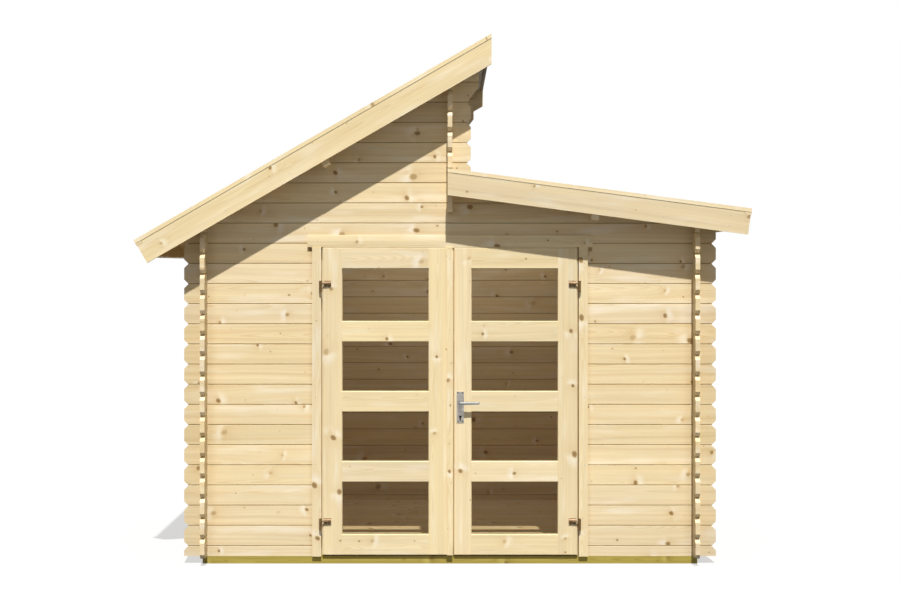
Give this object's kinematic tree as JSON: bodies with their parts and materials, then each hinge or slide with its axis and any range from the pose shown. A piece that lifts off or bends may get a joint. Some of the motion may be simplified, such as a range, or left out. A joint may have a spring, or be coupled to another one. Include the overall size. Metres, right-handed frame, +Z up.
{
  "type": "log garden house",
  "caption": "Log garden house with interlocking walls, a steep and a low roof at split levels, a board floor and a glazed double door that opens outward.",
  "frame": {"origin": "on the ground under the middle of the walls, on the underside of the middle cross beam", "axes": "+X to the right seen from the door side, +Y from the door to the back, +Z up"},
  "size_m": [3.6497, 2.47, 3.1568],
  "materials": {
    "wall_log": "planed untreated spruce with knots",
    "roof_timber": "planed untreated spruce",
    "roof_board": "planed untreated spruce boards",
    "floor_board": "planed untreated spruce boards",
    "trim_board": "planed untreated spruce trim",
    "door_wood": "planed untreated spruce joinery",
    "treated_beam": "green pressure-treated timber",
    "roofing_felt": "bituminous roofing felt with mineral grit",
    "pane_glass": "clear float glass",
    "hinge_steel": "brown passivated steel",
    "handle_metal": "satin silver metal"
  },
  "bodies": {
    "house": {"base_beam_front": "treated_beam", "base_beam_back": "treated_beam", "base_cross_beams": "treated_beam", "floor": "floor_board", "front_wall_left": "wall_log", "front_wall_right": "wall_log", "front_wall_top": "wall_log", "front_gable": "wall_log", "back_wall": "wall_log", "back_wall_top": "wall_log", "back_gable": "wall_log", "left_wall": "wall_log", "right_wall": "wall_log", "step_wall": "wall_log", "upper_purlin": "roof_timber", "lower_purlin": "roof_timber", "upper_roof_deck": "roof_board", "lower_roof_deck": "roof_board", "upper_roof_felt": "roofing_felt", "lower_roof_felt": "roofing_felt", "upper_barge_front": "trim_board", "upper_barge_back": "trim_board", "lower_barge_front": "trim_board", "lower_barge_back": "trim_board", "upper_verge_strips": "trim_board", "lower_verge_strips": "trim_board", "upper_eave_board": "trim_board", "lower_eave_board": "trim_board", "upper_eave_lath": "trim_board", "lower_eave_lath": "trim_board", "high_edge_board": "trim_board", "door_jamb_left": "door_wood", "door_jamb_right": "door_wood", "door_head": "door_wood", "door_head_casing": "door_wood", "door_sill": "door_wood", "hinge_pins": "hinge_steel"},
    "left_leaf": {"left_leaf_frame": "door_wood", "left_leaf_glass": "pane_glass", "left_leaf_beads": "door_wood", "meeting_strip": "door_wood", "left_leaf_hinges": "hinge_steel"},
    "right_leaf": {"right_leaf_frame": "door_wood", "right_leaf_glass": "pane_glass", "right_leaf_beads": "door_wood", "right_leaf_hinges": "hinge_steel", "lock_plates": "handle_metal"},
    "handle": {"door_handle": "handle_metal"}
  },
  "joints": [
    {"name": "left_door", "type": "hinge", "parent": "house", "child": "left_leaf", "pos_m": [-0.775, -1.093, 1], "axis": [0, 0, -1], "range_deg": [0, 160]},
    {"name": "right_door", "type": "hinge", "parent": "house", "child": "right_leaf", "pos_m": [0.775, -1.093, 1], "axis": [0, 0, 1], "range_deg": [0, 160]},
    {"name": "handle_turn", "type": "hinge", "parent": "right_leaf", "child": "handle", "pos_m": [0.062, -1.061, 0.966], "axis": [0, 1, 0], "range_deg": [0, 40], "stiffness_Nm_per_rad": 0.5, "springref_deg": -17.19}
  ]
}
